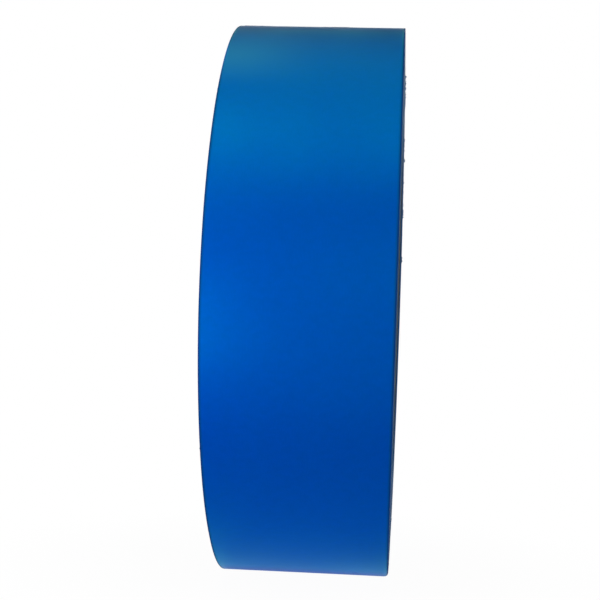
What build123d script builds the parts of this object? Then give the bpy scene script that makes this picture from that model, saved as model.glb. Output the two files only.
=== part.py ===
from build123d import *
import math
import os

# Roll of crepe-paper masking tape on a spiral-wound paperboard core.
# Frame: +X is the roll's axis, +Z is up, and the origin is on the axis, halfway across the tape.
# Angles are counted about +X, from +Y towards +Z. The loose end is just past the top, on the -Y side.
# All dimensions are in millimetres and degrees.

# ---- tape ----
TAPE_WIDTH = 38.0          # width of the slit tape
OUTER_R = 64.0             # radius at the loose end of the outermost lap
LAP_PITCH = 0.137          # thickness of one lap: backing, adhesive and release coat
STRIP_T = 0.125            # solid thickness of the lifting end, a hair less than a lap
LOOSE_END = 96.0           # angle of the cut edge of the tape
LIFT_SEGMENTS = 8          # pieces the lifting end is divided into
SEGMENT_ARC = 7.5          # arc of each of those pieces
LIFT_ARC = LIFT_SEGMENTS * SEGMENT_ARC
BUTT_GAP = 0.02            # free gap between neighbouring pieces of the strip
ARC_STEP = 30.0            # the spiral is drawn with arcs of this length

# ---- core ----
BORE_R = 38.1              # 3 inch core
CORE_LENGTH = 37.7         # a hair shorter than the tape is wide
GLUE_LINE = 0.02           # adhesive film outside each ply
LINER_T = 0.40             # smooth liner ply in the bore
BODY_PLY_T = 0.60          # each chipboard ply
WRAP_T = 0.40              # outer ply, which the first lap sticks to
SEAM_GAP = 0.30            # gap where a ply's two long edges meet
SEAM_LEAD = 110.0          # axial advance of a ply's seam in one turn
SEAM_START = 205.0         # turn of the liner's seam about the axis
SEAM_STAGGER = 67.0        # further turn of the seam from ply to ply
SEAM_OVERRUN = 3.0         # the seam cutter runs this far past each end of the core
SLIT_OVERCUT = 0.5         # and this far past each face of the ply

# Plies from the bore outwards: name, thickness, colour
PLIES = [
    ("core_liner", LINER_T, (0.72, 0.66, 0.56)),
    ("core_ply_1", BODY_PLY_T, (0.50, 0.42, 0.33)),
    ("core_ply_2", BODY_PLY_T, (0.55, 0.47, 0.37)),
    ("core_ply_3", BODY_PLY_T, (0.49, 0.41, 0.32)),
    ("core_ply_4", BODY_PLY_T, (0.54, 0.46, 0.36)),
    ("core_wrap", WRAP_T, (0.62, 0.53, 0.42)),
]
WOUND_BLUE = (0.05, 0.30, 0.68)
LIFTING_BLUE = (0.05, 0.34, 0.74)


def save(part, name, colour):
    part.label = name
    part.color = Color(*colour)
    export_step(part, f"parts/{name}.step")


def on_lap(turned, inset=0.0):
    """YZ point `inset` under the strip's outer face, `turned` degrees back from its loose end."""
    angle = math.radians(LOOSE_END - turned)
    radius = OUTER_R - LAP_PITCH * turned / 360.0 - inset
    return (radius * math.cos(angle), radius * math.sin(angle))


def core_ply(inner_r, thickness, seam_turn):
    """A flat strip wound into a tube, so that its long edges meet in one helical seam."""
    outer_r = inner_r + thickness
    run = CORE_LENGTH + 2 * SEAM_OVERRUN
    with BuildLine() as seam:
        Helix(
            pitch=SEAM_LEAD,
            height=run,
            radius=(inner_r + outer_r) / 2,
            center=(-run / 2, 0, 0),
            direction=(1, 0, 0),
        )
    seam_edge = seam.edges()[0].rotate(Axis.X, seam_turn)
    start = seam_edge @ 0
    outward = Vector(0, start.Y, start.Z).normalized()
    slit_plane = Plane(origin=start, x_dir=outward, z_dir=seam_edge % 0)

    with BuildPart() as ply:
        with BuildSketch(Plane.YZ):
            Circle(outer_r)
            Circle(inner_r, mode=Mode.SUBTRACT)
        extrude(amount=CORE_LENGTH / 2, both=True)
        with BuildSketch(slit_plane) as slit:
            Rectangle(thickness + 2 * SLIT_OVERCUT, SEAM_GAP)
        # the Frenet frame keeps the slit square to the ply all along the helix
        sweep(sections=slit.sketch, path=seam_edge, is_frenet=True, mode=Mode.SUBTRACT)
    return ply.part


def wound_tape(inner_r):
    """All the stuck laps as one solid. Its outside is one turn of the true spiral, closed by
    a step one lap pitch high where the lifting end leaves it."""
    with BuildPart() as tape:
        with BuildSketch(Plane.YZ):
            with BuildLine():
                for k in range(round(360.0 / ARC_STEP)):
                    turned = LIFT_ARC + k * ARC_STEP
                    ThreePointArc(
                        on_lap(turned),
                        on_lap(turned + ARC_STEP / 2),
                        on_lap(turned + ARC_STEP),
                    )
                Line(on_lap(LIFT_ARC + 360.0), on_lap(LIFT_ARC))
            make_face()
            Circle(inner_r, mode=Mode.SUBTRACT)
        extrude(amount=TAPE_WIDTH / 2, both=True)
    return tape.part


def strip_segment(near, far):
    """A piece of the lifting end; `near` (root side) and `far` are degrees from the loose end."""
    middle = (far + near) / 2
    with BuildPart() as segment:
        with BuildSketch(Plane.YZ):
            with BuildLine():
                ThreePointArc(on_lap(near), on_lap(middle), on_lap(far))
                Line(on_lap(far), on_lap(far, STRIP_T))
                ThreePointArc(on_lap(far, STRIP_T), on_lap(middle, STRIP_T), on_lap(near, STRIP_T))
                Line(on_lap(near, STRIP_T), on_lap(near))
            make_face()
        extrude(amount=TAPE_WIDTH / 2, both=True)
    return segment.part


os.makedirs("parts", exist_ok=True)

inner_r = BORE_R
for i, (name, thickness, colour) in enumerate(PLIES):
    save(core_ply(inner_r, thickness, SEAM_START + SEAM_STAGGER * i), name, colour)
    inner_r += thickness + GLUE_LINE

# the first lap starts one glue line outside the wrap
save(wound_tape(inner_r), "wound_tape", WOUND_BLUE)

# The lifting end bends at its butts and at the root, about lines on its outer face, so that
# neighbouring pieces only open away from each other. Piece 1 is at the root.
half_gap = math.degrees(BUTT_GAP / 2 / OUTER_R)
for k in range(LIFT_SEGMENTS):
    near = LIFT_ARC - k * SEGMENT_ARC - half_gap
    far = LIFT_ARC - (k + 1) * SEGMENT_ARC + half_gap
    if k == LIFT_SEGMENTS - 1:
        far = 0.0  # the last piece runs right to the cut edge
    save(strip_segment(near, far), f"tape_end_{k + 1}", LIFTING_BLUE)
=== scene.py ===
"""A roll of blue crepe tape on a paperboard core, with the outer end of the strip lifting off.

The roll's axis is X and its centre is the origin; +X is right, -Y is the front, +Z is up.
The strip winds inwards from its cut edge. "Turned" is the angle in degrees wound on since that
edge; the polar angle about +X, from +Y towards +Z, is LOOSE_END - turned.
Shapes are worked out in millimetres, and make_mesh turns them into metres.
"""

import bmesh
import bpy
import math
import numpy as np
from mathutils import Matrix, Vector


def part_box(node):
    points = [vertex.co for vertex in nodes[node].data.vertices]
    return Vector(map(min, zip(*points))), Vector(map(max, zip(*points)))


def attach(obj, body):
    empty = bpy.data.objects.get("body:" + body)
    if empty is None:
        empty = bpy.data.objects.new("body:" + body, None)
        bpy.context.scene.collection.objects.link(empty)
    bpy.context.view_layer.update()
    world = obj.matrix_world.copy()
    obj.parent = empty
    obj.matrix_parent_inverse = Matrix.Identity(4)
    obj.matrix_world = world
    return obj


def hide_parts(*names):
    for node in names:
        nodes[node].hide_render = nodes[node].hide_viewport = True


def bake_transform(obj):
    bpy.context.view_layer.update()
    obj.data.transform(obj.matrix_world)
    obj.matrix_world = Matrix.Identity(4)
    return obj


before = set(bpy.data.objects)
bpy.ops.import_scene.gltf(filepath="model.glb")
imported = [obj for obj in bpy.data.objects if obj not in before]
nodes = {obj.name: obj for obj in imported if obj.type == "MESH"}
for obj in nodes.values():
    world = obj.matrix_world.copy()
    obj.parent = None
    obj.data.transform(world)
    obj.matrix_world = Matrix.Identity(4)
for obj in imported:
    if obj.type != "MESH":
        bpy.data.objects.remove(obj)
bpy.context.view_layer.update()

MM = 0.001
scene = bpy.context.scene


def radii(name):
    """Least and greatest distance of a CAD piece from the roll's axis, in mm."""
    places = np.array([v.co for v in nodes[name].data.vertices], float).reshape(-1, 3)
    radius = np.hypot(places[:, 1], places[:, 2])
    return float(radius.min() / MM), float(radius.max() / MM)


# ---------------------------------------------------------------- sizes (mm and degrees)
HALF_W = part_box("wound_tape")[1].x / MM          # half the tape's width
TUBE_R = radii("wound_tape")[0]                  # where the first lap lies on the core
PITCH = 0.137                                    # one lap
OUTER_R = 64.0                                   # radius at the cut edge of the outermost lap
LOOSE_END = 96.0                                 # polar angle of the cut edge
SEGMENTS, SEGMENT = 8, 7.5                       # arcs of the lifting end
LIFT = SEGMENTS * SEGMENT                        # turned angle where the strip leaves the roll
STRIP_T = 0.125                                  # thickness of the lifted strip
FOLD = 0.32                                      # share of piece 1, from the root, whose rows are set close for a tight bend
RIM = 0.12                                       # rounding of the rims
RIM_START = HALF_W - RIM                         # where the rounding begins
RIM_ANGLES = (28.0, 54.0, 78.0)                  # columns on the rounding
LAP_STEPS = 240                                  # steps round one lap
STEP = 360.0 / LAP_STEPS
LAST_STEP = int(((OUTER_R - TUBE_R) / PITCH * 360.0 - LIFT) / STEP)  # ends on the tube
COVERED_FROM = round((360.0 - LIFT) / STEP)      # first step under the lifting end

# Material slots of the tape pieces
BACKING, EDGE, ADHESIVE = 0, 1, 2


def lap_radius(turned):
    return OUTER_R - PITCH * turned / 360.0


# ---------------------------------------------------------------- seeded noise
def smooth_noise(position, seed, scale):
    """1D value noise, about -1 to 1, smooth, one knot per `scale` of the position."""
    knots, offset = 8192, 1000.0                 # the offset keeps positions positive
    table = np.random.default_rng(seed).uniform(-1, 1, knots)
    place = np.asarray(position, float) / scale + offset
    knot = np.floor(place).astype(int)
    share = place - knot
    share = share * share * (3 - 2 * share)
    return table[knot % knots] * (1 - share) + table[(knot + 1) % knots] * share


def layered_noise(position, layers):
    """Sum of noises. layers: (size in mm, seed, knot spacing)."""
    return sum(size * smooth_noise(position, seed, scale) for size, seed, scale in layers)


def bell(angle, centre, width):
    """Smooth bell in degrees, 1 at the centre, wrapping at 360."""
    away = (np.asarray(angle) - centre + 180.0) % 360.0 - 180.0
    return np.exp(-((away / width) ** 2))


# ---------------------------------------------------------------- unevenness of the roll
# Sideways drift: (size in mm, seed, laps between knots)
DRIFT_QUICK = ((0.020, 11, 0.8), (0.014, 12, 0.13), (0.040, 13, 4.0))
DRIFT_SLOW = ((0.085, 14, 19.0),)
DRIFT_FADE = 3.0            # laps over which the drift grows to its full size
DRIFT_OUTERMOST = 0.35      # share of the quick drift left at the cut edge

# Laps that stand out of the right side (or sink in, where the height is negative):
# (polar angle, its width, radius, its reach, height)
BURRS = (
    (58.0, 3.6, 61.6, 1.1, 0.26), (51.5, 1.5, 61.2, 0.8, 0.20), (66.0, 1.4, 61.9, 0.6, 0.16),
    (39.5, 0.9, 62.4, 0.8, 0.22), (37.0, 0.6, 62.1, 0.6, 0.15), (29.5, 1.6, 62.6, 0.7, 0.15),
    (24.0, 1.0, 62.7, 0.5, 0.20), (18.5, 1.8, 62.5, 0.8, 0.16), (11.0, 1.2, 62.8, 0.6, 0.17),
    (5.0, 0.9, 62.6, 0.5, 0.12), (-2.5, 1.0, 62.3, 0.6, 0.13), (-63.5, 1.0, 62.9, 0.6, 0.16),
    (151.0, 1.2, 60.0, 0.9, -0.16), (214.0, 2.2, 57.0, 1.4, 0.12),
    (262.0, 1.6, 49.5, 1.1, -0.14), (330.0, 1.8, 54.0, 1.2, 0.13),
)

# The corner rounded off at the lower right
CORNER_ANGLE, CORNER_WIDTH, CORNER_REACH, CORNER_DEPTH = 262.0, 15.0, 0.85, 0.80
# Soft flats along the rims: (side, polar angle, its width, depth, reach across the tread)
FLATS = ((1, 305.0, 12.0, 0.10, 1.4), (-1, 20.0, 9.0, 0.12, 1.3), (-1, 232.0, 7.0, 0.10, 1.2))

# How far the right-hand side stands out at mid height, and how much less at the outer radius
BOW_OUT, BOW_BACK = 0.13, 0.40


def wander(turned):
    """Sideways drift of the strip in mm. It pushes one edge out and pulls the other in."""
    laps_in = np.asarray(turned) / 360.0
    fade = np.clip(laps_in / DRIFT_FADE, 0, 1)
    quick = layered_noise(laps_in, DRIFT_QUICK)
    quick = quick * (DRIFT_OUTERMOST + (1 - DRIFT_OUTERMOST) * fade)
    return quick + layered_noise(laps_in, DRIFT_SLOW) * fade


def slit_roughness(turned, side):
    """Small changes of the slit edge itself, different on the two edges."""
    layers = ((0.010, 21 + side, 0.021), (0.012, 31 + side, 0.55))
    return layered_noise(np.asarray(turned) / 360.0, layers)


def burrs(turned, radius):
    """How far the laps stand out of the right side, in mm."""
    polar = (LOOSE_END - np.asarray(turned)) % 360.0
    out = np.zeros_like(radius)
    for angle, width, centre, reach, height in BURRS:
        out += height * bell(polar, angle, width) * np.exp(-(((radius - centre) / reach) ** 2))
    return out


def dents(angle, x):
    """How far the tread is pressed in, in mm, at a polar angle and a place across the width."""
    angle, x = np.asarray(angle, float), np.asarray(x, float)
    inward = np.clip((HALF_W - x) / CORNER_REACH, 0, 1)
    corner = 1.0 - np.sqrt(1.0 - (1.0 - inward) ** 2)
    depth = CORNER_DEPTH * bell(angle, CORNER_ANGLE, CORNER_WIDTH) * corner
    for side, centre, width, most, reach in FLATS:
        across = np.exp(-(((HALF_W - side * x) / reach) ** 2))
        depth = depth + most * bell(angle, centre, width) * across
    return depth


def tread_sway(angle, x):
    """Very shallow unevenness of the outer laps in mm: a broad wave and a finer one."""
    a = np.radians(np.asarray(angle, float))
    x = np.asarray(x, float)
    broad = 0.010 * np.sin(5 * a + 0.21 * x) * np.cos(0.16 * x + 1.3)
    return broad + 0.006 * np.sin(11 * a - 0.34 * x + 2.0)


def tread_depth(angle, x):
    return float(dents(angle, x) + tread_sway(angle, x))


def bow(x, z):
    """Bow of the right-hand side in mm: out at mid height, back at the top and the bottom."""
    share = np.clip(np.asarray(x, float) / HALF_W, 0, 1)
    return (BOW_OUT - BOW_BACK * (np.asarray(z, float) / OUTER_R) ** 2) * share * share * (3 - 2 * share)


# ---------------------------------------------------------------- mesh helpers
def make_mesh(name, verts_mm, faces, sharp, slots=None):
    """Smooth-shaded object with edges sharper than `sharp` degrees marked; slots go per face."""
    mesh = bpy.data.meshes.new(name)
    verts_mm = np.array(verts_mm, float)
    verts_mm[:, 0] += bow(verts_mm[:, 0], verts_mm[:, 2])
    mesh.from_pydata((verts_mm * MM).tolist(), [], faces)
    mesh.validate()
    mesh.update()
    mesh.polygons.foreach_set("use_smooth", np.ones(len(mesh.polygons), bool))
    if slots is not None:
        mesh.polygons.foreach_set("material_index", np.asarray(slots, np.int32))
    mesh.set_sharp_from_angle(angle=math.radians(sharp))
    mesh.update()
    obj = bpy.data.objects.new(name, mesh)
    scene.collection.objects.link(obj)
    return obj


def strip_coord(turned, across):
    """(arc along the strip in mm, place across it in mm, laps in from the cut edge)."""
    return -np.radians(turned) * lap_radius(turned), across, turned / 360.0


def add_strip_coords(obj, coords):
    attribute = obj.data.attributes.new("strip", "FLOAT_VECTOR", "POINT")
    attribute.data.foreach_set("vector", np.asarray(coords, np.float32).ravel())


def facing(face, side):
    """The face as it is for the right side (1), turned over for the left (-1)."""
    return face if side == 1 else face[::-1]


def tread_columns():
    """Columns across the tread, left to right: (x, depth under the nominal surface)."""
    near = [RIM_START - gap for gap in (0.0, 0.10, 0.22, 0.38, 0.58, 0.85, 1.3)]
    middle_part = list(np.linspace(-(HALF_W - 2.6), HALF_W - 2.6, 15))
    flat = [-x for x in near] + middle_part + near[::-1]
    bends = [math.radians(angle) for angle in RIM_ANGLES]
    right = [(RIM_START + RIM * math.sin(b), RIM * (1 - math.cos(b))) for b in bends]
    left = [(-x, depth) for x, depth in reversed(right)]
    return left + [(x, 0.0) for x in flat] + right


def on_rim(x):
    return abs(x) > RIM_START + 1e-9


def stretch_rim(x, factor):
    """Scale how far a rim column lies beyond the start of the rounding."""
    return math.copysign(RIM_START + (abs(x) - RIM_START) * factor, x)


COLUMNS = tread_columns()
RIM_X, RIM_DEPTH = COLUMNS[-1]                   # outermost column


def rim_x(depth):
    """How far out the rounded rim reaches at a depth under the surface."""
    depth = np.clip(depth, 0, RIM)
    return RIM_START + np.sqrt(RIM**2 - (RIM - depth) ** 2)


def point(turned, x, depth):
    angle = math.radians(LOOSE_END - turned)
    radius = lap_radius(turned) - depth
    return (x, radius * math.cos(angle), radius * math.sin(angle))


# ---------------------------------------------------------------- wound tape: the true spiral
DENT_FADE = 1.1             # depth in mm over which the dents die out down the sides
RING_INSET = 0.02           # the innermost ring stands this far in from the sides


def slit_edge(side, turned, drift):
    """One slit edge of the whole spiral, seen as the side of the roll."""
    below = (np.arange(LAST_STEP + 1) // LAP_STEPS) * PITCH
    radius = lap_radius(turned)
    rough = slit_roughness(turned, side) * np.clip(below / 0.3, 0.15, 1)
    x = rim_x(below) + side * drift + rough
    if side == 1:
        x = x + burrs(turned, radius)
    press = dents(LOOSE_END - turned, np.full_like(radius, side * HALF_W))
    pressed = radius - press * np.exp(-below / DENT_FADE)
    pressed[LAST_STEP] = TUBE_R
    x[LAST_STEP] = HALF_W
    polar = np.radians(LOOSE_END - turned)
    verts = zip(side * x, pressed * np.cos(polar), pressed * np.sin(polar))
    return list(verts), list(zip(*strip_coord(turned, side * x)))


def build_wound_tape():
    """The laps on the roll: both sides, the exposed tread and the wall on the tube."""
    turned = LIFT + np.arange(LAST_STEP + 1) * STEP
    drift = wander(turned)
    verts, coords, start = [], [], {}
    for side in (1, -1):
        start[side] = len(verts)
        edge_verts, edge_coords = slit_edge(side, turned, drift)
        verts += edge_verts
        coords += edge_coords

    # inner ring on the tube, which begins and ends at the spiral's last vertex
    last_lap = range(LAST_STEP - LAP_STEPS, LAST_STEP)
    ring = {}
    for side in (1, -1):
        shared = start[side] + LAST_STEP
        ring[side] = [shared]
        for k in last_lap[1:]:
            angle = math.radians(LOOSE_END - (LIFT + k * STEP))
            ring[side].append(len(verts))
            x = side * (HALF_W - RING_INSET)
            verts.append((x, TUBE_R * math.cos(angle), TUBE_R * math.sin(angle)))
            coords.append((0.0, side * HALF_W, (LIFT + (k + LAP_STEPS) * STEP) / 360.0))
        ring[side].append(shared)

    # the tread's outermost columns are the first lap of the side vertices
    tread = []
    for i in range(LAP_STEPS + 1):
        here = LIFT + i * STEP
        angle = LOOSE_END - here
        covered = i >= COVERED_FROM
        row = [start[-1] + i]
        for x, depth in COLUMNS[1:-1]:
            x_here = x
            if on_rim(x):
                if covered:
                    # square out to the next lap's own edge
                    depth = 0.0
                    x_here = stretch_rim(x, 1 / math.sin(math.radians(RIM_ANGLES[-1])))
                x_here += drift[i]
            row.append(len(verts))
            verts.append(point(here, float(x_here), depth + tread_depth(angle, x)))
            coords.append(strip_coord(here, x))
        row.append(start[1] + i)
        tread.append(row)
        # on the rounded rim where the tread is bare, on the lap's edge where it is covered
        rim, depth = (float(rim_x(PITCH)), 0.0) if covered else (RIM_X, RIM_DEPTH)
        for side in (1, -1):
            sunk = depth + tread_depth(angle, side * HALF_W)
            verts[start[side] + i] = point(here, side * (rim + side * drift[i]), sunk)

    faces, slots = [], []
    for side in (1, -1):
        first = start[side]
        for k in range(LAST_STEP - LAP_STEPS):
            a, b = first + k, first + k + LAP_STEPS
            faces.append(facing((a, b, b + 1, a + 1), side))
        for n, k in enumerate(last_lap):
            face = (first + k, ring[side][n], ring[side][n + 1], first + k + 1)
            # the last one closes on the shared vertex as a triangle
            faces.append(facing(tuple(dict.fromkeys(face)), side))
    slots += [EDGE] * len(faces)
    spans = range(len(COLUMNS) - 1)
    for row, following in zip(tread, tread[1:]):
        for c in spans:
            faces.append((row[c], row[c + 1], following[c + 1], following[c]))
            slots.append(BACKING)
    # the step where the lifting end leaves the roll
    for c in spans:
        faces.append((tread[-1][c], tread[-1][c + 1], tread[0][c + 1], tread[0][c]))
    # wall against the tube
    for n in range(LAP_STEPS):
        faces.append((ring[1][n], ring[-1][n], ring[-1][n + 1], ring[1][n + 1]))
    slots += [EDGE] * (len(faces) - len(slots))
    obj = make_mesh("wound_laps", verts, faces, sharp=62.0, slots=slots)
    add_strip_coords(obj, coords)
    return obj


laps = build_wound_tape()
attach(laps, "roll")
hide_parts("wound_tape")

# ---------------------------------------------------------------- lifting end of the strip
# Piece k spans hinge k-1, so that it runs from the middle of one arc to the middle of
# the next. The first starts at the root, where the tape leaves the roll, and the last
# runs on to the torn edge.
TORN_MEAN = 0.30            # mean shortfall of the torn edge, in mm of arc
TORN_LAYERS = ((0.16, 41, 2.3), (0.10, 42, 0.7), (0.05, 43, 0.23))  # size, seed, spacing in mm
CURL = 0.16                 # how far the torn edge curls up
THINNED_SINK = 0.03         # how far the torn edge sinks where it has thinned to nothing


def torn(x):
    """How far the torn edge falls short of the cut line, in mm of arc, across the width."""
    return TORN_MEAN + layered_noise(x, TORN_LAYERS)


def middle(k):
    """Turned angle at the middle of arc k; the root for 0."""
    return LIFT if k == 0 else LIFT - (k - 0.5) * SEGMENT


def strip_shares(k):
    """Where the rows of piece k lie, from 0 at its start to 1 at its end."""
    if k == 1:
        return np.concatenate([np.linspace(0, FOLD, 11), np.linspace(FOLD, 1, 6)[1:]])
    return np.linspace(0, 1, 13 if k < SEGMENTS else 22)


def strip_columns(k):
    """The tread's columns, set closer on the last piece to carry the torn edge."""
    if k < SEGMENTS:
        return COLUMNS
    rim = [column for column in COLUMNS if on_rim(column[0])]
    inner = [(x, 0.0) for x in np.linspace(-RIM_START, RIM_START, 97)]
    return rim[:len(RIM_ANGLES)] + inner + rim[len(RIM_ANGLES):]


def build_strip(k):
    """Piece k (1 to 8) of the lifting end, counted from the root."""
    torn_piece = k == SEGMENTS
    near = middle(k - 1)
    far = 0.0 if torn_piece else middle(k)
    shares = strip_shares(k)
    rows = len(shares) - 1
    drift = wander(near + (far - near) * shares)
    columns = strip_columns(k)
    # the under side's rim is drawn out to the rounding's reach at the strip's thickness
    under_rim = (float(rim_x(STRIP_T)) - RIM_START) / (RIM_X - RIM_START)
    verts, coords, top, low = [], [], [], []
    for i, share in enumerate(shares.tolist()):
        top_row, low_row = [], []
        for x, depth in columns:
            turned = near + (far - near) * share
            curl, thin = 0.0, 1.0
            if torn_piece:
                # the last rows close up on the torn edge and curl up
                end_share = max(0.0, 1.5 * share - 0.5)
                turned += float(torn(x)) / (math.radians(1) * OUTER_R) * end_share**3
                curl = CURL * end_share**2.5 * (1.0 + 0.35 * math.sin(0.31 * x + 0.6))
                if i == rows:
                    thin = 0.45 + 0.25 * float(smooth_noise(x, seed=44, scale=0.5))
            sunk = tread_depth(LOOSE_END - turned, x) - curl + (1 - thin) * THINNED_SINK
            x_top, x_low = x, x
            if on_rim(x):
                x_top = x + drift[i]
                x_low = stretch_rim(x, under_rim) + drift[i]
            levels = ((top_row, x_top, depth + sunk), (low_row, x_low, STRIP_T * thin + sunk))
            for row, x_here, depth_here in levels:
                row.append(len(verts))
                verts.append(point(turned, x_here, depth_here))
                coords.append(strip_coord(turned, x))
        top.append(top_row)
        low.append(low_row)

    faces, slots = [], []
    last = len(columns) - 1
    for i in range(rows):
        for c in range(last):
            faces.append((top[i][c], top[i + 1][c], top[i + 1][c + 1], top[i][c + 1]))
            faces.append((low[i][c], low[i][c + 1], low[i + 1][c + 1], low[i + 1][c]))
            slots += [BACKING, ADHESIVE]
        for c, side in ((0, 1), (last, -1)):
            faces.append(facing((top[i][c], low[i][c], low[i + 1][c], top[i + 1][c]), side))
            slots.append(EDGE)
    for i, side in ((0, 1), (rows, -1)):
        for c in range(last):
            faces.append(facing((top[i][c], top[i][c + 1], low[i][c + 1], low[i][c]), side))
            slots.append(EDGE)
    obj = make_mesh(f"strip_end_{k}", verts, faces, sharp=50.0, slots=slots)
    add_strip_coords(obj, coords)
    return obj


strips = [build_strip(k) for k in range(1, SEGMENTS + 1)]

# ---------------------------------------------------------------- frayed bits along the slit edges
# (side, polar angles between which they lie, how many per degree, least and greatest height)
FRAYS = (
    (1, 56.0, 66.5, 1.9, 0.24, 0.44), (1, 39.6, 44.8, 1.2, 0.18, 0.34),
    (1, 37.7, 38.9, 2.6, 0.34, 0.44), (1, 24.5, 36.1, 1.0, 0.12, 0.28),
    (1, 21.4, 24.5, 1.7, 0.22, 0.38), (1, 11.9, 21.4, 0.8, 0.10, 0.22),
    (1, 9.3, 11.6, 1.8, 0.24, 0.36), (1, -60.0, 9.0, 0.16, 0.05, 0.11),
    (1, 100.0, 300.0, 0.13, 0.05, 0.13), (-1, -180.0, 180.0, 0.14, 0.05, 0.13),
)
FRAY_ROOT = 0.2             # how deep a flake is rooted in the side
FRAY_STATIONS = 5           # along a flake, four vertices at each
# Faces of a flake, as vertices counted from a station
FRAY_SPAN = ((1, 3, 7, 5), (0, 4, 6, 2), (2, 6, 7, 3), (0, 1, 5, 4))
FRAY_FIRST, FRAY_LAST = (0, 2, 3, 1), (0, 1, 3, 2)


def flake_verts(rng, side, start_angle, end_angle, low, high):
    angle, radius = rng.uniform(start_angle, end_angle), rng.uniform(62.7, 63.55)
    length, height = rng.uniform(0.35, 1.0), rng.uniform(low, high)
    thick, lean = rng.uniform(0.05, 0.10), rng.uniform(-0.25, 0.25)
    # turned angle of the lap nearest to the flake
    first = (LOOSE_END - angle) % 360.0
    turned = first + 360.0 * round(((OUTER_R - radius) / PITCH * 360.0 - first) / 360.0)
    base = side * HALF_W + float(wander(turned)) - side * FRAY_ROOT
    verts = []
    for j in range(FRAY_STATIONS):
        along = length * (j / (FRAY_STATIONS - 1) - 0.5)
        at_end = j in (0, FRAY_STATIONS - 1)
        share = rng.uniform(0.05, 0.35) if at_end else rng.uniform(0.55, 1.0)
        polar = math.radians(angle) + along / radius
        for taper, reach in ((1.0, 0.0), (0.6, FRAY_ROOT + height * share)):
            for half in (-0.5, 0.5):
                r = radius + half * thick * taper + lean * reach
                verts.append((base + side * reach, r * math.cos(polar), r * math.sin(polar)))
    return verts


def build_frays():
    """Small flakes of paper that stand out of the sides near the rims."""
    rng = np.random.default_rng(57)
    verts, faces = [], []
    for side, start_angle, end_angle, per_degree, low, high in FRAYS:
        for _ in range(int(round((end_angle - start_angle) * per_degree))):
            start = len(verts)
            verts += flake_verts(rng, side, start_angle, end_angle, low, high)
            last = FRAY_STATIONS - 1
            flake = [(j, face) for j in range(last) for face in FRAY_SPAN]
            flake += [(0, FRAY_FIRST), (last, FRAY_LAST)]
            faces += [tuple(start + 4 * j + v for v in face) for j, face in flake]
    obj = make_mesh("edge_frays", verts, faces, sharp=30.0)
    bm = bmesh.new()
    bm.from_mesh(obj.data)
    bmesh.ops.recalc_face_normals(bm, faces=bm.faces)
    bm.to_mesh(obj.data)
    bm.free()
    return obj


frays = build_frays()
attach(frays, "roll")


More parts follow.
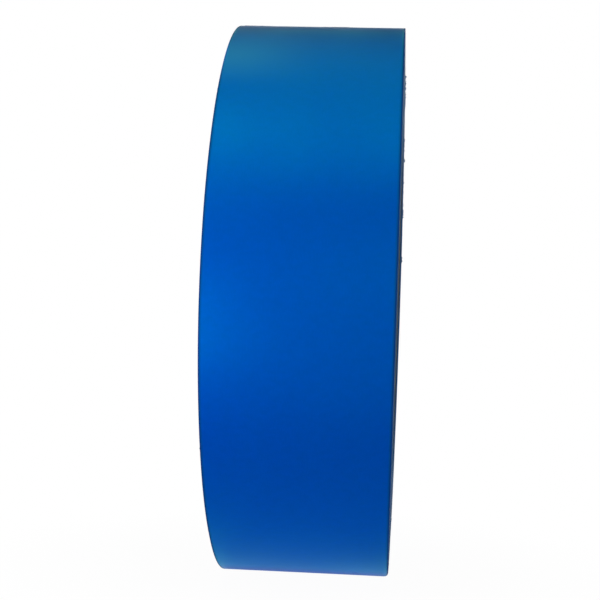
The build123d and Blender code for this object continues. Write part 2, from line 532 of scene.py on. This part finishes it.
# ---------------------------------------------------------------- node trees
class Graph:
    """Short spelling for the node tree of a material or a world. Colours are RGB."""

    def __init__(self, owner):
        owner.use_nodes = True
        self.tree = owner.node_tree
        self.tree.nodes.clear()

    def put(self, socket, value):
        if isinstance(value, bpy.types.NodeSocket):
            self.tree.links.new(value, socket)
        elif socket.type == "RGBA":
            socket.default_value = (*value, 1.0)
        else:
            socket.default_value = value

    def node(self, kind, inputs=None, **settings):
        n = self.tree.nodes.new(kind)
        for key, value in settings.items():
            setattr(n, key, value)
        for key, value in (inputs or {}).items():
            self.put(n.inputs[key], value)
        return n

    def math(self, operation, a, b=0.0):
        return self.node("ShaderNodeMath", {0: a, 1: b, 2: 0.0}, operation=operation).outputs[0]

    def mul(self, a, b):
        return self.math("MULTIPLY", a, b)

    def add(self, a, b):
        return self.math("ADD", a, b)

    def sub(self, a, b):
        return self.math("SUBTRACT", a, b)

    def weighted(self, first, *others):
        """Sum of (value, weight) pairs."""
        total = self.mul(*first)
        return self.add(total, self.weighted(*others)) if others else total

    def squares(self, a, b):
        return self.add(self.mul(a, a), self.mul(b, b))

    def distance(self, a, b):
        return self.math("SQRT", self.squares(a, b))

    def vec(self, x, y, z):
        return self.node("ShaderNodeCombineXYZ", {0: x, 1: y, 2: z}).outputs[0]

    def noise(self, where, detail, rough=0.5, scale=1.0, dims="3D"):
        inputs = {"W" if dims == "1D" else "Vector": where}
        inputs.update({"Scale": scale, "Detail": detail, "Roughness": rough})
        return self.node("ShaderNodeTexNoise", inputs, noise_dimensions=dims).outputs["Fac"]

    def grain(self, places, density, detail, rough, shift=None):
        """Noise over two or three places, each with its density. The shift stands in for a
        third place, or is added to it."""
        parts = [self.mul(place, dense) for place, dense in zip(places, density)]
        if len(parts) == 2:
            parts.append(shift)
        elif shift is not None:
            parts[2] = self.add(parts[2], shift)
        return self.noise(self.vec(*parts), detail, rough)

    def ramp(self, value, between, to=(0.0, 1.0)):
        """Smooth step: the first of `between` gives the first of `to`, and so on."""
        inputs = {"Value": value, "From Min": between[0], "From Max": between[1]}
        inputs.update({"To Min": to[0], "To Max": to[1]})
        n = self.node("ShaderNodeMapRange", inputs, clamp=True, interpolation_type="SMOOTHSTEP")
        return n.outputs["Result"]

    def near_side(self, across, gaps, to=(0.0, 1.0)):
        """Ramp over the distance in from the roll's sides, between two gaps in mm."""
        between = [HALF_W - gap for gap in gaps]
        return self.ramp(self.math("ABSOLUTE", across), between, to)

    def mix(self, share, a, b, blend="MIX"):
        inputs = {0: share, 6: a, 7: b}
        return self.node("ShaderNodeMix", inputs, data_type="RGBA", blend_type=blend).outputs[2]

    def tint(self, base, mask, amount, colour):
        """Bring in a colour by an amount where the mask is 1."""
        return self.mix(self.mul(mask, amount), base, colour)

    def split(self, vector, axes="XYZ"):
        outputs = self.node("ShaderNodeSeparateXYZ", {0: vector}).outputs
        return [outputs[axis] for axis in axes]

    def places(self, axes):
        """Object coordinates in metres."""
        return self.split(self.node("ShaderNodeTexCoord").outputs["Object"], axes)

    def places_mm(self, axes):
        return [self.mul(place, 1000.0) for place in self.places(axes)]

    def strip(self):
        """Arc along the strip and place across it, in mm."""
        n = self.node("ShaderNodeAttribute", attribute_name="strip")
        return self.split(n.outputs["Vector"], "XY")

    def bump(self, height, strength, distance_mm):
        inputs = {"Strength": strength, "Distance": distance_mm * MM, "Height": height}
        return self.node("ShaderNodeBump", inputs).outputs["Normal"]


class Surface(Graph):
    """A material with one principled shader."""

    def __init__(self, name):
        self.mat = bpy.data.materials.new(name)
        super().__init__(self.mat)
        self.out = self.node("ShaderNodeOutputMaterial")
        self.bsdf = self.node("ShaderNodeBsdfPrincipled")
        self.put(self.out.inputs["Surface"], self.bsdf.outputs["BSDF"])

    def set(self, name, value):
        self.put(self.bsdf.inputs[name], value)


# ---------------------------------------------------------------- tape materials
MID = (0.3, 0.7)            # the range that noise mostly keeps to


def creping(g, strip):
    """Fine irregular wrinkles that run across the strip."""
    return g.grain(strip, density=(2.9, 0.42), shift=0.0, detail=3.0, rough=0.55)


def backing_sheen(g, across, normal):
    """Tint of the coating's reflection: cool, stronger towards grazing, paler only there."""
    weight = g.node("ShaderNodeLayerWeight", {"Blend": 0.5, "Normal": normal})
    grazing = weight.outputs["Facing"]
    cool_gain, cool_base, cool_most = 1700.0, 130.0, 900.0
    warm_gain, warm_most = 900.0, 430.0
    green_share = 0.94      # of the blue
    cool = g.add(g.mul(g.math("POWER", grazing, 4.0), cool_gain), cool_base)
    cool = g.math("MINIMUM", cool, cool_most)
    warm = g.math("MINIMUM", g.mul(g.math("POWER", grazing, 8.0), warm_gain), warm_most)
    rim = g.near_side(across, gaps=(0.40, 0.08), to=(1.0, 0.12))
    cool, warm = g.mul(cool, rim), g.mul(warm, rim)
    return g.vec(warm, g.mul(cool, green_share), cool)


def tape_backing():
    """Saturated blue creped paper, darker along the slit edges, with one painted highlight near the top.
    """
    g = Surface("tape_backing")
    strip = arc, across = g.strip()
    crepe = creping(g, strip)
    fine = g.grain(strip, density=(7.5, 2.1), shift=5.0, detail=2.0, rough=0.5)
    blotch = g.grain(strip, density=(0.055, 0.085), shift=9.0, detail=3.0, rough=0.55)
    fibre = g.grain(strip, density=(0.9, 3.2), shift=2.0, detail=4.0, rough=0.6)
    # slightly paler where the coating is thin
    thin = g.ramp(fibre, between=(0.35, 0.75))
    base = g.mix(thin, (0.0, 0.045, 0.505), (0.0, 0.052, 0.535))
    darker = g.mix(0.05, base, (0.0, 0.030, 0.38))
    base = g.mix(g.ramp(blotch, between=MID), darker, base)
    # faint mottling
    mottle = g.grain(strip, density=(0.75, 0.40), shift=13.0, detail=4.0, rough=0.65)
    mottle = g.ramp(mottle, between=(0.30, 0.70), to=(0.955, 1.045))
    base = g.mix(1.0, base, g.vec(mottle, mottle, mottle), blend="MULTIPLY")
    edge = g.near_side(across, gaps=(0.75, 0.10))
    base = g.tint(base, edge, amount=0.78, colour=(0.004, 0.035, 0.13))
    # painted highlight: one paler patch towards the left edge, in front of the top, standing in for a
    # reflection there
    painted_highlight_arc = 367.5       # mm in from the cut edge
    along = g.math("ABSOLUTE", g.add(arc, painted_highlight_arc))
    painted_highlight_along = g.ramp(along, between=(0.0, 13.0), to=(1.0, 0.0))
    painted_highlight_across = g.ramp(across, between=(-19.0, 3.0), to=(1.0, 0.0))
    # painted highlight: the patch takes a paler colour with a little red and green in it
    base = g.mix(g.mul(painted_highlight_along, painted_highlight_across), base, (0.017, 0.130, 0.505))
    g.set("Base Color", base)
    blotch_rough = g.ramp(blotch, between=MID, to=(-0.02, 0.02))
    rough = g.add(blotch_rough, g.ramp(crepe, between=MID, to=(0.40, 0.44)))
    edge_rough = 0.2
    g.set("Roughness", g.add(rough, g.mul(edge, edge_rough)))
    height = g.weighted((crepe, 0.75), (fine, 0.25))
    normal = g.bump(height, strength=0.48, distance_mm=0.018)
    g.set("Normal", normal)
    g.set("IOR", 1.05)
    g.set("Specular IOR Level", 0.5)
    g.set("Specular Tint", backing_sheen(g, across, normal))
    return g.mat


def tape_edge():
    """Slit edges of the laps: paper edges and thin lines of adhesive, seen as fine rings."""
    g = Surface("tape_edges")
    y, z = g.places_mm("YZ")
    radius = g.distance(y, z)
    turn = g.sub(math.radians(LOOSE_END), g.math("ARCTAN2", z, y))
    turn = g.math("DIVIDE", turn, 2 * math.pi)
    depth = g.math("DIVIDE", g.sub(OUTER_R, radius), PITCH)
    lap = g.sub(depth, turn)
    whole, part = g.math("FLOOR", lap), g.math("FRACT", lap)
    along = g.add(whole, turn)  # the strip's own length in turns, continuous round the roll
    # tones that change within a lap, over a few laps and over many
    each = g.noise(along, scale=1.7, detail=1.0, dims="1D")
    few = g.noise(along, scale=0.33, detail=1.0, dims="1D")
    many = g.noise(along, scale=0.075, detail=2.0, dims="1D")
    grit = g.grain((y, z), density=(5.0, 5.0), shift=3.0, detail=4.0, rough=0.65)
    # dust follows the rings
    around = g.math("DIVIDE", y, radius), g.math("DIVIDE", z, radius)
    dust = g.grain((*around, radius), density=(2.6, 2.6, 0.55), detail=4.0, rough=0.62)
    bands_per_mm = 0.21
    band = g.noise(g.mul(radius, bands_per_mm), detail=2.0, dims="1D")
    glue_start = g.ramp(part, between=(0.70, 0.80))
    glue = g.mul(glue_start, g.ramp(part, between=(0.93, 1.0), to=(1.0, 0.0)))
    tone = g.weighted((each, 0.45), (few, 0.30), (many, 0.25))
    base = g.mix(g.ramp(tone, between=MID), (0.009, 0.050, 0.132), (0.024, 0.116, 0.275))
    for mask, amount, colour in (
        (glue, 0.45, (0.060, 0.140, 0.175)),
        (g.ramp(dust, between=(0.48, 0.72)), 0.16, (0.085, 0.150, 0.190)),
        (g.ramp(band, between=(0.40, 0.66)), 0.16, (0.012, 0.045, 0.13)),
        (g.ramp(grit, between=(0.52, 0.72)), 0.25, (0.010, 0.035, 0.085)),
    ):
        base = g.tint(base, mask, amount, colour)
    g.set("Base Color", base)
    g.set("Roughness", g.ramp(grit, between=MID, to=(0.62, 0.82)))
    g.set("Specular IOR Level", 0.10)
    g.set("Specular Tint", (0.35, 0.6, 1.0))
    height = g.weighted((g.math("PINGPONG", part, 0.5), 0.9), (grit, 0.8))
    g.set("Normal", g.bump(height, strength=0.5, distance_mm=0.05))
    return g.mat


def tape_adhesive():
    """Under side of the lifted strip: clear rubber adhesive over the blue paper."""
    g = Surface("tape_adhesive")
    strip = g.strip()
    crepe = creping(g, strip)
    pull = g.grain(strip, density=(0.7, 0.5), shift=4.0, detail=4.0, rough=0.6)
    pale = g.ramp(pull, between=(0.35, 0.7))
    base = g.mix(pale, (0.085, 0.245, 0.52), (0.150, 0.325, 0.585))
    edge = g.near_side(strip[1], gaps=(0.75, 0.15))
    g.set("Base Color", g.tint(base, edge, amount=0.4, colour=(0.03, 0.09, 0.22)))
    g.set("Roughness", g.ramp(pull, between=MID, to=(0.22, 0.36)))
    g.set("IOR", 1.49)
    g.set("Coat Weight", 0.25)
    g.set("Coat Roughness", 0.18)
    height = g.weighted((crepe, 0.5), (pull, 0.8))
    g.set("Normal", g.bump(height, strength=0.5, distance_mm=0.03))
    return g.mat


backing, edges, adhesive = tape_backing(), tape_edge(), tape_adhesive()
frays.data.materials.append(edges)
for mat in (backing, edges):
    laps.data.materials.append(mat)
for k, strip_end in enumerate(strips, start=1):
    for mat in (backing, edges, adhesive):
        strip_end.data.materials.append(mat)
    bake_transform(strip_end)
    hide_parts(f"tape_end_{k}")

# ---------------------------------------------------------------- paperboard core
# CAD piece: light and dark colour of its fibres
PLIES = {
    "core_liner": ((0.40, 0.335, 0.255), (0.275, 0.225, 0.165)),
    "core_ply_1": ((0.225, 0.193, 0.152), (0.140, 0.118, 0.090)),
    "core_ply_2": ((0.330, 0.290, 0.238), (0.225, 0.195, 0.158)),
    "core_ply_3": ((0.218, 0.187, 0.148), (0.135, 0.113, 0.087)),
    "core_ply_4": ((0.310, 0.272, 0.222), (0.210, 0.182, 0.146)),
    "core_wrap": ((0.255, 0.218, 0.172), (0.165, 0.140, 0.108)),
}
PLY_SHIFT = 3.0             # moves the pattern from one ply to the next
CLOUD_SHADE = 0.72          # share of the dark colour in the clouds


def board(name, light, dark, shift, inner_r, outer_r):
    """Paperboard of one ply of the core, between two radii."""
    g = Surface(name)
    places = x, y, z = g.places_mm("XYZ")
    radius = g.distance(y, z)
    fibre = g.grain(places, density=[2.4] * 3, detail=6.0, rough=0.68)
    specks = g.grain(places, density=[1.1] * 3, detail=3.0, rough=0.5, shift=shift)
    cloud = g.grain(places, density=[0.16] * 3, detail=4.0, rough=0.6, shift=shift)
    # painted shade: the ends of the tube are darkened to a cool grey, standing in for the shade there,
    # and the glue between the plies shows there as thin lines
    end = g.near_side(x, gaps=(1.1, 0.2))
    line_waver = 0.10       # mm
    wave = g.mul(g.sub(cloud, 0.5), line_waver)
    skin = g.math("MINIMUM", g.sub(radius, inner_r), g.sub(outer_r, radius))
    line = g.ramp(g.add(skin, wave), between=(0.03, 0.14), to=(1.0, 0.0))
    cut = g.near_side(x, gaps=(0.25, 0.17))
    base = g.mix(g.ramp(fibre, between=MID), dark, light)
    for mask, amount, colour in (
        (g.ramp(cloud, between=(0.35, 0.7)), 0.30, tuple(CLOUD_SHADE * c for c in dark)),
        (g.ramp(specks, between=(0.68, 0.74)), 0.65, (0.055, 0.040, 0.028)),
        (g.ramp(specks, between=(0.30, 0.24)), 0.45, (0.62, 0.55, 0.44)),
        # painted shade at the ends of the tube
        (end, 0.58, (0.044, 0.050, 0.058)),
        (g.mul(line, cut), 0.75, (0.035, 0.030, 0.026)),
    ):
        base = g.tint(base, mask, amount, colour)
    g.set("Base Color", base)
    g.set("Roughness", g.ramp(fibre, between=MID, to=(0.78, 0.92)))
    g.set("Specular IOR Level", 0.3)
    g.set("Normal", g.bump(fibre, strength=0.6, distance_mm=0.06))
    return g.mat


for i, (name, (light, dark)) in enumerate(PLIES.items()):
    mat = board("board_" + name.split("_", 1)[1], light, dark, PLY_SHIFT * i, *radii(name))
    nodes[name].data.materials.clear()
    nodes[name].data.materials.append(mat)

# ---------------------------------------------------------------- floor (metres)
FLOOR_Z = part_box("wound_tape")[0].z - 0.00004
FLOOR_RINGS = (0.05, 0.1, 0.2, 0.4, 0.8, 1.6, 3.2, 6.0)
FLOOR_SIDES = 96
# soft pools of light on the floor: (x, y, radius, strength, colour)
POOLS = (
    (-0.12, -0.34, 0.1, 0.5937, (1.0, 0.996, 1.0)),
    (0, 0.22, 0.12, 1.2, (1.0, 1.0, 1.12)),
    (0, 0, 0.45, 0.106, (1.0, 0.97, 1.0)),
    (0, 0.1, 0.06, 1.2, (1.0, 0.87, 1.12)),
    (0, -0.02, 0.04, 0.10, (0.6, 0.5, 1.2)),
)
# painted shadow: the strip of floor in front of the roll turns black to reflected rays, standing in for
# the roll's shadow there
PAINTED_SHADOW_Y, PAINTED_SHADOW_REACH, PAINTED_SHADOW_AMOUNT = -0.078, 0.036, 0.9


def build_floor():
    verts, faces = [(0.0, 0.0, FLOOR_Z)], []
    for radius in FLOOR_RINGS:
        for j in range(FLOOR_SIDES):
            angle = 2 * math.pi * j / FLOOR_SIDES
            verts.append((radius * math.cos(angle), radius * math.sin(angle), FLOOR_Z))
    for j in range(FLOOR_SIDES):
        faces.append((0, 1 + j, 1 + (j + 1) % FLOOR_SIDES))
    for ring in range(len(FLOOR_RINGS) - 1):
        a = 1 + ring * FLOOR_SIDES
        b = a + FLOOR_SIDES
        for j in range(FLOOR_SIDES):
            following = (j + 1) % FLOOR_SIDES
            faces.append((a + j, b + j, b + following, a + following))
    mesh = bpy.data.meshes.new("floor")
    mesh.from_pydata(verts, [], faces)
    mesh.update()
    obj = bpy.data.objects.new("floor", mesh)
    scene.collection.objects.link(obj)
    return obj


def floor_paper():
    g = Surface("floor_paper")
    g.set("Roughness", 0.9)
    g.set("Specular IOR Level", 0.1)
    x, y = g.places("XY")
    path = g.node("ShaderNodeLightPath").outputs
    # far from the roll the floor runs out into the white backdrop, so that no horizon shows
    white_share = g.ramp(g.distance(x, y), between=(0.02, 0.10), to=(0.97, 1.0))
    # painted shadow: just in front of the roll the floor turns black to reflected rays
    ahead = g.math("DIVIDE", g.add(y, -PAINTED_SHADOW_Y), PAINTED_SHADOW_REACH)
    ahead = g.math("EXPONENT", g.mul(g.mul(ahead, ahead), -1.0))
    dark = g.mul(ahead, g.mul(path["Is Glossy Ray"], PAINTED_SHADOW_AMOUNT))
    g.set("Base Color", g.mix(dark, (0.88, 0.88, 0.88), (0.0, 0.0, 0.0)))
    white = g.node("ShaderNodeEmission", {"Strength": 1.0}).outputs[0]
    seen = g.mul(white_share, path["Is Camera Ray"])
    inputs = {0: seen, 1: g.bsdf.outputs["BSDF"], 2: white}
    shader = g.node("ShaderNodeMixShader", inputs).outputs[0]
    # the pools light the roll but stay out of the camera's sight
    unseen = g.sub(1.0, path["Is Camera Ray"])
    for pool_x, pool_y, radius, strength, colour in POOLS:
        away = g.squares(g.sub(x, pool_x), g.sub(y, pool_y))
        fall = g.math("EXPONENT", g.math("DIVIDE", away, -radius * radius))
        glow = g.mul(g.mul(fall, strength), unseen)
        pool = g.node("ShaderNodeEmission", {"Color": colour, "Strength": glow}).outputs[0]
        shader = g.node("ShaderNodeAddShader", {0: shader, 1: pool}).outputs[0]
    g.put(g.out.inputs["Surface"], shader)
    return g.mat


floor = build_floor()
floor.data.materials.append(floor_paper())


# ---------------------------------------------------------------- world, lights and camera
def build_world():
    """White to the camera, black to everything else."""
    world = bpy.data.worlds.new("studio")
    scene.world = world
    g = Graph(world)
    white = (1.0, 1.0, 1.0)
    seen, unseen = (
        g.node("ShaderNodeBackground", {"Color": white, "Strength": strength}).outputs[0]
        for strength in (1.0, 0.0)
    )
    camera_ray = g.node("ShaderNodeLightPath").outputs["Is Camera Ray"]
    mixed = g.node("ShaderNodeMixShader", {0: camera_ray, 1: unseen, 2: seen})
    g.node("ShaderNodeOutputWorld", {"Surface": mixed.outputs[0]})


# (name, place in metres, size, energy, colour, whether it only makes sheen)
# All point at the roll's centre. The small ones stand close to the roll.
LIGHTS = (
    ("front_high", (-0.0878, -0.4133, 0.7947), 0.45, 1.32, (1.0, 1.0, 1.0), False),
    ("front_low", (0.183, -0.8611, 0.1871), 0.45, 1.02, (1.0, 0.98, 1.0), False),
    ("front_low_left", (-0.183, -0.8611, 0.1871), 0.45, 0.09, (1.0, 0.65, 1.0), False),
    ("right", (0.8503, -0.2278, 0.1871), 0.45, 3.15, (1.0, 0.99, 1.0), False),
    ("left", (-0.86, 0.15, 0.16), 0.45, 2.2, (1.0, 1.0, 1.0), False),
    ("top", (0.0, -0.0314, 0.8995), 0.5, 0.60, (1.0, 1.06, 0.72), False),
    ("top_behind", (-0.1902, 0.3294, 0.8157), 0.45, 0.17, (0.8, 1.0, 0.76), False),
    ("front_mid", (0.02, -0.64, 0.58), 0.45, 0.27, (1.0, 0.98, 1.0), False),
    ("near_high", (-0.05, -0.080, 0.095), 0.05, 0.0075, (1.0, 1.05, 0.80), False),
    ("near_upper", (-0.05, -0.12, 0.06), 0.05, 0.0066, (1.0, 0.82, 0.92), False),
    ("near_lower", (-0.045, -0.1, -0.01), 0.05, 0.0125, (1.0, 0.72, 1.06), False),
    ("near_top", (-0.034, -0.021, 0.092), 0.09, 0.0022, (3.0, 0.50, 0.15), True),
    ("behind_low", (0.0, 0.8978, 0.0628), 0.6, 5.0, (1.0, 1.0, 1.0), False),
    ("sheen_top", (0.0, 0.09, 0.895), 0.5, 0.34, (1.0, 1.0, 0.7), True),
)


def add_light(name, place, size, energy, colour, sheen_only):
    data = bpy.data.lights.new(name, "AREA")
    data.shape = "SQUARE"
    data.size = size
    data.energy = energy
    data.color = colour
    lamp = bpy.data.objects.new(name, data)
    lamp.visible_camera = False
    lamp.visible_diffuse = not sheen_only
    scene.collection.objects.link(lamp)
    lamp.location = place
    lamp.rotation_euler = (-Vector(place)).to_track_quat("-Z", "Y").to_euler()


# In the camera's frame, as (right, down, ahead): the direction of the roll's axis, turned
# 4.5 degrees from the image plane and rolled 1.8 degrees, and the roll's centre in mm
AXIS_SEEN = (0.99643457, 0.03187982, -0.07811419)
CENTRE_SEEN = (4.371889, -0.041739, 325.037869)
LENS = 81.7224


def add_camera():
    """Camera in front of the roll, at the height of its centre."""
    axis = np.array(AXIS_SEEN)
    axis = axis / np.linalg.norm(axis)
    up = np.array([0.0, -1.0, 0.0])
    up = up - (up @ axis) * axis
    up = up / np.linalg.norm(up)
    # columns: where world X, Y and Z point in the camera's frame
    to_camera = np.stack([axis, np.cross(up, axis), up], axis=1)
    right, down, ahead = to_camera
    origin = -to_camera.T @ (np.array(CENTRE_SEEN) * MM)
    placed = np.eye(4)
    placed[:3] = np.stack([right, -down, -ahead, origin], axis=1)
    data = bpy.data.cameras.new("camera")
    data.sensor_width = 36.0
    data.lens = LENS
    data.clip_start, data.clip_end = 0.01, 30.0
    camera = bpy.data.objects.new("camera", data)
    scene.collection.objects.link(camera)
    camera.matrix_world = Matrix(placed.tolist())
    scene.camera = camera


build_world()
for light in LIGHTS:
    add_light(*light)
add_camera()
scene.view_settings.view_transform = "Standard"
scene.view_settings.look = "None"
